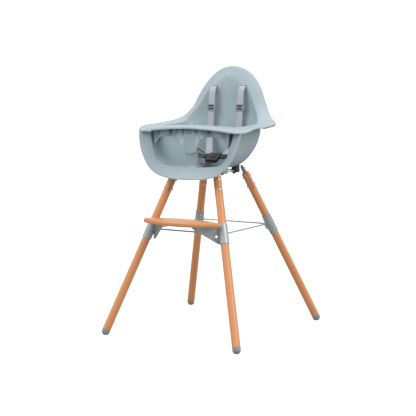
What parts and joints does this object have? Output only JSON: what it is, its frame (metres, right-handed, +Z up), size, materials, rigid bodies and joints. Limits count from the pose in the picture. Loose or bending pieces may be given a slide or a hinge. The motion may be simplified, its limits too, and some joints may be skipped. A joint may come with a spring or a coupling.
{
  "type": "baby high chair",
  "caption": "Baby high chair: deep moulded seat bucket under a one-piece back, arm ring and front bar, on splayed round wooden legs with steel sleeves, a wooden footrest and a harness.",
  "frame": {"origin": "on the floor, at the centre of the box round the whole chair", "axes": "+Z up, -Y the front of the chair, +X to the right of someone who stands in front and faces the chair"},
  "size_m": [0.5712, 0.612, 0.9301],
  "materials": {
    "shell_plastic": "fine satin moulded polypropylene",
    "beech": "clear lacquered beech",
    "grey_metal": "grey powder coat",
    "zinc_steel": "zinc plated",
    "bright_steel": "polished",
    "grey_rubber": "matte",
    "black_plastic": "moulded",
    "grey_plastic": "moulded",
    "webbing": "woven polyester"
  },
  "bodies": {
    "chair": {"upper_leg_front_left": "beech", "leg_sleeve_front_left": "grey_metal", "leg_tongue_front_left": "zinc_steel", "upper_leg_front_right": "beech", "leg_sleeve_front_right": "grey_metal", "leg_tongue_front_right": "zinc_steel", "upper_leg_rear_left": "beech", "leg_sleeve_rear_left": "grey_metal", "leg_tongue_rear_left": "zinc_steel", "upper_leg_rear_right": "beech", "leg_sleeve_rear_right": "grey_metal", "leg_tongue_rear_right": "zinc_steel", "upper_shell": "shell_plastic", "seat_bucket": "shell_plastic", "seat_frame": "grey_metal", "frame_clamp_front_left": "black_plastic", "frame_clamp_front_right": "black_plastic", "frame_clamp_rear_left": "black_plastic", "frame_clamp_rear_right": "black_plastic", "clamp_bolts": "black_plastic", "leg_studs": "zinc_steel", "sleeve_screws": "bright_steel", "leg_bolts": "bright_steel", "footrest_screws": "bright_steel", "brace_front": "grey_metal", "brace_right": "grey_metal", "brace_rear": "grey_metal", "brace_left": "grey_metal", "footrest_board": "beech", "footrest_bracket_left": "grey_metal", "shoulder_strap_left": "webbing", "strap_anchor_left": "grey_plastic", "buckle_tongue_left": "black_plastic", "lap_strap_left": "webbing", "footrest_bracket_right": "grey_metal", "shoulder_strap_right": "webbing", "strap_anchor_right": "grey_plastic", "buckle_tongue_right": "black_plastic", "lap_strap_right": "webbing", "buckle_body": "black_plastic", "crotch_strap": "webbing"},
    "lower_leg_front_left": {"foot_cap_front_left": "grey_rubber", "lower_leg_front_left": "beech"},
    "lower_leg_front_right": {"foot_cap_front_right": "grey_rubber", "lower_leg_front_right": "beech"},
    "lower_leg_rear_left": {"foot_cap_rear_left": "grey_rubber", "lower_leg_rear_left": "beech"},
    "lower_leg_rear_right": {"foot_cap_rear_right": "grey_rubber", "lower_leg_rear_right": "beech"},
    "strap_adjuster_left": {"strap_adjuster_left": "grey_plastic"},
    "strap_adjuster_right": {"strap_adjuster_right": "grey_plastic"},
    "buckle_button": {"buckle_button": "black_plastic"}
  },
  "joints": [
    {"name": "leg_release_front_left", "type": "slide", "parent": "chair", "child": "lower_leg_front_left", "axis": [-0.2927, -0.2923, -0.9104], "range_m": [0, 0.03]},
    {"name": "leg_release_front_right", "type": "slide", "parent": "chair", "child": "lower_leg_front_right", "axis": [0.2927, -0.2923, -0.9104], "range_m": [0, 0.03]},
    {"name": "leg_release_rear_left", "type": "slide", "parent": "chair", "child": "lower_leg_rear_left", "axis": [-0.3074, 0.3438, -0.8873], "range_m": [0, 0.03]},
    {"name": "leg_release_rear_right", "type": "slide", "parent": "chair", "child": "lower_leg_rear_right", "axis": [0.3074, 0.3438, -0.8873], "range_m": [0, 0.03]},
    {"name": "adjuster_slide_left", "type": "slide", "parent": "chair", "child": "strap_adjuster_left", "axis": [0, -0.0995, -0.995], "range_m": [-0.012, 0.03]},
    {"name": "adjuster_slide_right", "type": "slide", "parent": "chair", "child": "strap_adjuster_right", "axis": [0, -0.0995, -0.995], "range_m": [-0.012, 0.03]},
    {"name": "buckle_press", "type": "slide", "parent": "chair", "child": "buckle_button", "axis": [0, 0.4695, -0.8829], "range_m": [0, 0.0022], "stiffness_N_per_m": 900}
  ]
}
